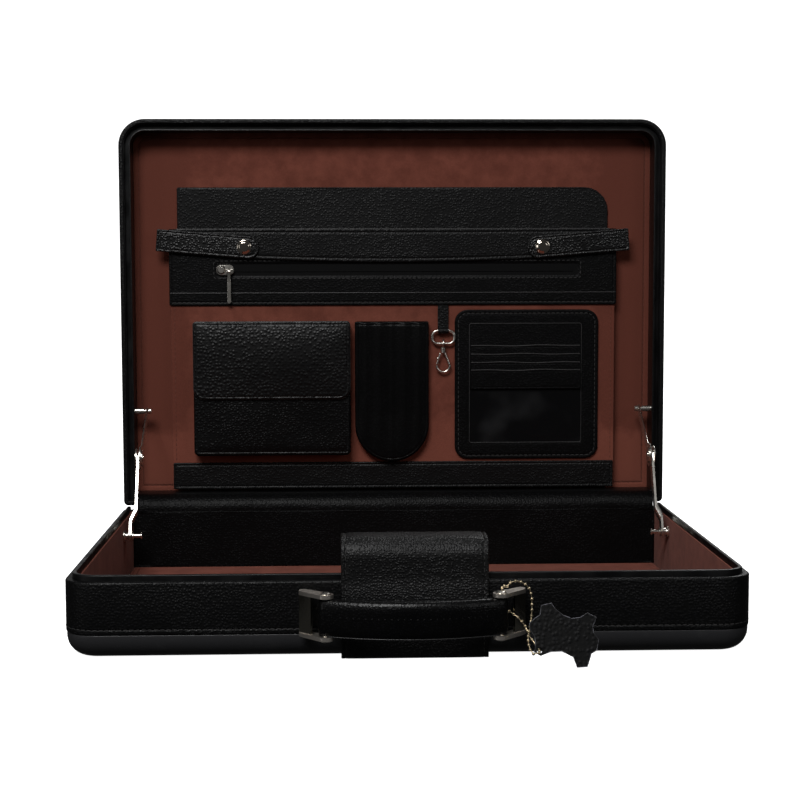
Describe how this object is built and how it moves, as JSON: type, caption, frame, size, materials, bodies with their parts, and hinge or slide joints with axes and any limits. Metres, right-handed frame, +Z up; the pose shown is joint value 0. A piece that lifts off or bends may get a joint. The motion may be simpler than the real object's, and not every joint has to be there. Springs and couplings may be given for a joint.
{
  "type": "briefcase",
  "caption": "Rigid leather attache case standing open, with a bowed handle, closure strap, stayed lid and a suede lid organizer of pockets, zip and key clasp.",
  "frame": {"origin": "centre of the flat underside of the base, below the middle of the case's width and depth", "axes": "+X to the right along the hinge, +Y from the handle to the hinge, +Z up"},
  "size_m": [0.457, 0.3915, 0.377],
  "materials": {
    "pebbled_leather": "pebbled",
    "smooth_leather": "smooth",
    "moulded_shell": "smooth, moulded",
    "suede": "suede",
    "wall_board": "raw board",
    "rim_black": "black satin",
    "nickel": "satin nickel",
    "zip_cloth": "woven",
    "window": "clear over dark",
    "brass": "polished"
  },
  "bodies": {
    "base": {"bottom_shell": "moulded_shell", "base_wall_board": "wall_board", "base_leather_band": "pebbled_leather", "base_rim_tongue": "rim_black", "base_wall_lining": "suede", "base_floor_lining": "suede", "rear_wall_panel": "smooth_leather", "base_hinge_leaf": "nickel", "hinge_pin": "nickel", "hinge_gusset": "smooth_leather", "strap_panel": "pebbled_leather", "handle_mounts": "nickel", "base_stay_pins": "nickel"},
    "lid": {"lid_top_shell": "moulded_shell", "lid_wall_board": "wall_board", "lid_leather_band": "pebbled_leather", "lid_groove_channel": "rim_black", "lid_wall_leather": "smooth_leather", "lid_lining_board": "suede", "lid_hinge_leaf": "nickel", "lid_stay_pins": "nickel", "lid_strike_plate": "nickel", "file_back_panel": "pebbled_leather", "pocket_gussets": "smooth_leather"},
    "left_stay_arm": {"left_stay_arm": "nickel"},
    "right_stay_arm": {"right_stay_arm": "nickel"},
    "left_stay_link": {"left_stay_link": "nickel"},
    "right_stay_link": {"right_stay_link": "nickel"},
    "closure_tongue": {"closure_tongue": "pebbled_leather", "tongue_tip_plate": "nickel"},
    "left_shackle": {"left_shackle": "nickel", "left_grip_rivet": "nickel"},
    "right_shackle": {"right_shackle": "nickel", "right_grip_rivet": "nickel", "tag_chain": "brass"},
    "grip": {"handle_grip": "pebbled_leather", "handle_core": "nickel"},
    "hide_tag": {"hide_tag": "pebbled_leather"},
    "pocket_front": {"pocket_front_board": "suede", "zip_panel": "pebbled_leather", "zip_tape": "zip_cloth", "pocket_top_band": "pebbled_leather", "pocket_base_strip": "pebbled_leather", "snap_studs": "nickel", "pouch_body": "pebbled_leather", "soft_sleeve": "pebbled_leather", "key_tab": "pebbled_leather", "card_holder": "pebbled_leather", "card_window": "window"},
    "left_snap_strap": {"left_snap_strap": "pebbled_leather", "left_snap_cap": "nickel"},
    "right_snap_strap": {"right_snap_strap": "pebbled_leather", "right_snap_cap": "nickel"},
    "pouch_flap": {"pouch_flap": "pebbled_leather"},
    "zip_slider": {"zip_slider": "nickel"},
    "zip_pull": {"zip_pull": "nickel"},
    "key_ring": {"key_ring": "nickel"},
    "clasp_eye": {"clasp_eye": "nickel"},
    "clasp_hook": {"clasp_hook": "nickel"},
    "clasp_gate": {"clasp_gate": "nickel"}
  },
  "joints": [
    {"name": "lid_hinge", "type": "hinge", "parent": "base", "child": "lid", "pos_m": [0, 0.1638, 0.0517], "axis": [1, 0, 0], "range_deg": [0, 90], "deforming": ["hinge_gusset", "closure_tongue", "tongue_tip_plate"]},
    {"name": "left_arm_pivot", "type": "hinge", "parent": "base", "child": "left_stay_arm", "pos_m": [-0.212, 0.091, 0.0405], "axis": [1, 0, 0], "range_deg": [0, 116.5]},
    {"name": "right_arm_pivot", "type": "hinge", "parent": "base", "child": "right_stay_arm", "pos_m": [0.212, 0.091, 0.0405], "axis": [1, 0, 0], "range_deg": [0, 116.5]},
    {"name": "left_link_pivot", "type": "hinge", "parent": "lid", "child": "left_stay_link", "pos_m": [-0.208, 0.17, 0.1335], "axis": [1, 0, 0], "range_deg": [-110, 0]},
    {"name": "right_link_pivot", "type": "hinge", "parent": "lid", "child": "right_stay_link", "pos_m": [0.208, 0.17, 0.1335], "axis": [1, 0, 0], "range_deg": [-110, 0]},
    {"name": "tongue_fold", "type": "hinge", "parent": "base", "child": "closure_tongue", "pos_m": [0.00275, -0.1628, 0.05], "axis": [1, 0, 0], "range_deg": [0, 75]},
    {"name": "handle_swing", "type": "hinge", "parent": "base", "child": "left_shackle", "pos_m": [-0.07025, -0.1675, 0.032], "axis": [0, 0, 1], "range_deg": [-8, 8]},
    {"name": "right_shackle_swing", "type": "hinge", "parent": "base", "child": "right_shackle", "pos_m": [0.07175, -0.1675, 0.032], "axis": [0, 0, 1], "range_deg": [-8, 8]},
    {"name": "grip_pivot", "type": "hinge", "parent": "left_shackle", "child": "grip", "pos_m": [-0.05575, -0.1835, 0.032], "axis": [0, 0, 1], "range_deg": [-11, 11]},
    {"name": "tag_tilt", "type": "hinge", "parent": "right_shackle", "child": "hide_tag", "pos_m": [0.0805, -0.19799, 0.01221], "axis": [1, 0, 0], "range_deg": [0, 50]},
    {"name": "pocket_tilt", "type": "hinge", "parent": "lid", "child": "pocket_front", "pos_m": [0, 0.1773, 0.066], "axis": [-1, 0, 0], "range_deg": [-6.2, 0], "deforming": ["pocket_gussets"]},
    {"name": "left_snap_swing", "type": "hinge", "parent": "lid", "child": "left_snap_strap", "pos_m": [-0.198, 0.1838, 0.277], "axis": [0, 0, 1], "range_deg": [-90, 0]},
    {"name": "right_snap_swing", "type": "hinge", "parent": "lid", "child": "right_snap_strap", "pos_m": [0.198, 0.1838, 0.277], "axis": [0, 0, -1], "range_deg": [-90, 0]},
    {"name": "pouch_flap_fold", "type": "hinge", "parent": "pocket_front", "child": "pouch_flap", "pos_m": [-0.10285, 0.1757, 0.2082], "axis": [1, 0, 0], "range_deg": [-75, 0]},
    {"name": "zip_slide", "type": "slide", "parent": "pocket_front", "child": "zip_slider", "axis": [1, 0, 0], "range_m": [0, 0.281]},
    {"name": "zip_pull_swing", "type": "hinge", "parent": "zip_slider", "child": "zip_pull", "pos_m": [-0.1385, 0.1714, 0.2508], "axis": [1, 0, 0], "range_deg": [-80, 0]},
    {"name": "key_ring_swing", "type": "hinge", "parent": "pocket_front", "child": "key_ring", "pos_m": [0.0418, 0.173, 0.2001], "axis": [1, 0, 0], "range_deg": [-60, 0]},
    {"name": "clasp_eye_swing", "type": "hinge", "parent": "key_ring", "child": "clasp_eye", "pos_m": [0.0418, 0.173, 0.1893], "axis": [1, 0, 0], "range_deg": [-60, 0]},
    {"name": "clasp_swivel", "type": "hinge", "parent": "clasp_eye", "child": "clasp_hook", "pos_m": [0.0418, 0.173, 0.1837], "axis": [0, 0, 1], "range_deg": [-30, 30]},
    {"name": "clasp_gate_press", "type": "hinge", "parent": "clasp_hook", "child": "clasp_gate", "pos_m": [0.0392, 0.173, 0.1805], "axis": [0, -1, 0], "range_deg": [0, 25], "stiffness_Nm_per_rad": 0.005}
  ],
  "couplings": [
    {"joint": "left_arm_pivot", "follows": "lid_hinge", "ratio": 1.2906},
    {"joint": "right_arm_pivot", "follows": "lid_hinge", "ratio": 1.2906},
    {"joint": "left_link_pivot", "follows": "lid_hinge", "ratio": -1.2162},
    {"joint": "right_link_pivot", "follows": "lid_hinge", "ratio": -1.2162},
    {"joint": "right_shackle_swing", "follows": "handle_swing", "ratio": 1},
    {"joint": "grip_pivot", "follows": "handle_swing", "ratio": -1.2566},
    {"joint": "left_snap_swing", "follows": "pocket_tilt", "ratio": 14.5},
    {"joint": "right_snap_swing", "follows": "pocket_tilt", "ratio": 14.5}
  ]
}
